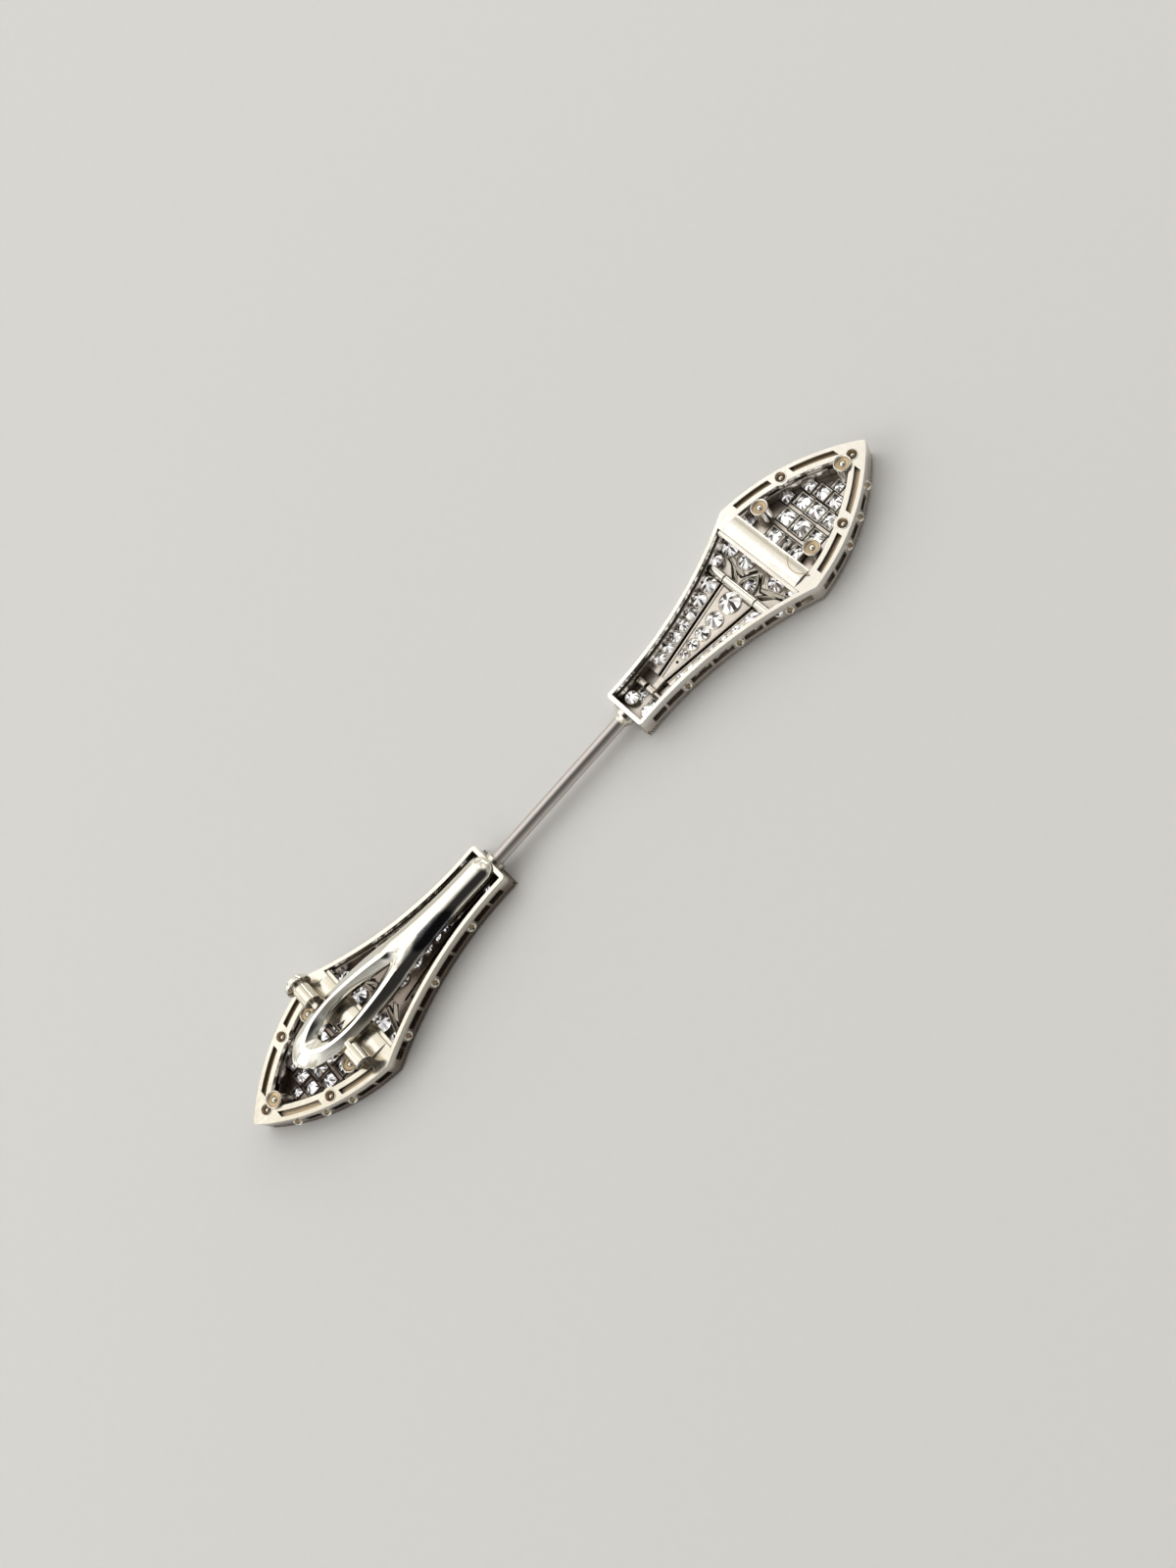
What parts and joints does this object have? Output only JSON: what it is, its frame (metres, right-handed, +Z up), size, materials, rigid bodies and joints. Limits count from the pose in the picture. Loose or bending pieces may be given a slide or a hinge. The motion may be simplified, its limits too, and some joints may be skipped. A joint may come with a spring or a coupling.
{
  "type": "jabot pin",
  "caption": "Jabot pin with two pierced, stone-set dart-shaped heads on a plain stem; one head pulls off the point and carries a pear-shaped hinged lever.",
  "frame": {"origin": "middle of the stem's visible length, on the axis of the pin, at the level of the stone faces on which it lies", "axes": "+X along the stem from the clip head towards the pin head's tip, +Y across the heads, +Z up from the stone faces to the open backs and the lever"},
  "size_m": [0.085, 0.0126, 0.0055],
  "materials": {
    "frame_metal": "hand-finished white gold, polished rims, greyer inside",
    "polished_metal": "bright mirror-polished white gold",
    "stem_metal": "drawn and burnished white metal wire",
    "diamond": "clear old-cut stones"
  },
  "bodies": {
    "pin_head": {"pin_arrow_stones": "diamond", "pin_bar_stone_1": "diamond", "pin_bar_stone_2": "diamond", "pin_bar_stone_3": "diamond", "pin_bar_stone_4": "diamond", "pin_head_frame": "frame_metal", "pin_left_row_stones": "diamond", "pin_lotus_stone": "diamond", "pin_right_row_stones": "diamond", "pin_stem": "stem_metal"},
    "leaf": {"pin_head_leaf": "frame_metal", "pin_leaf_stone_1": "diamond", "pin_leaf_stone_2": "diamond", "pin_leaf_stone_3": "diamond", "pin_leaf_stone_4": "diamond", "pin_leaf_stone_5": "diamond"},
    "clip_head": {"clip_arrow_stones": "diamond", "clip_bar_stone_1": "diamond", "clip_bar_stone_2": "diamond", "clip_bar_stone_3": "diamond", "clip_bar_stone_4": "diamond", "clip_head_frame": "frame_metal", "clip_leaf_stone_1": "diamond", "clip_leaf_stone_2": "diamond", "clip_leaf_stone_3": "diamond", "clip_leaf_stone_4": "diamond", "clip_leaf_stone_5": "diamond", "clip_left_row_stones": "diamond", "clip_lotus_stone": "diamond", "clip_right_row_stones": "diamond", "lever_pin_knobbed": "polished_metal", "lever_pin_plain": "polished_metal"},
    "lever": {"clip_lever": "polished_metal"}
  },
  "joints": [
    {"name": "clip_pull", "type": "slide", "parent": "pin_head", "child": "clip_head", "axis": [-1, 0, 0], "range_m": [0, 0.022]},
    {"name": "leaf_hinge", "type": "hinge", "parent": "pin_head", "child": "leaf", "pos_m": [0.0248, 0, 0.0012], "axis": [0, 1, 0], "range_deg": [0, 60]},
    {"name": "lever_hinge", "type": "hinge", "parent": "clip_head", "child": "lever", "pos_m": [-0.0303, 0, 0.0042], "axis": [0, -1, 0], "range_deg": [0, 28]}
  ]
}
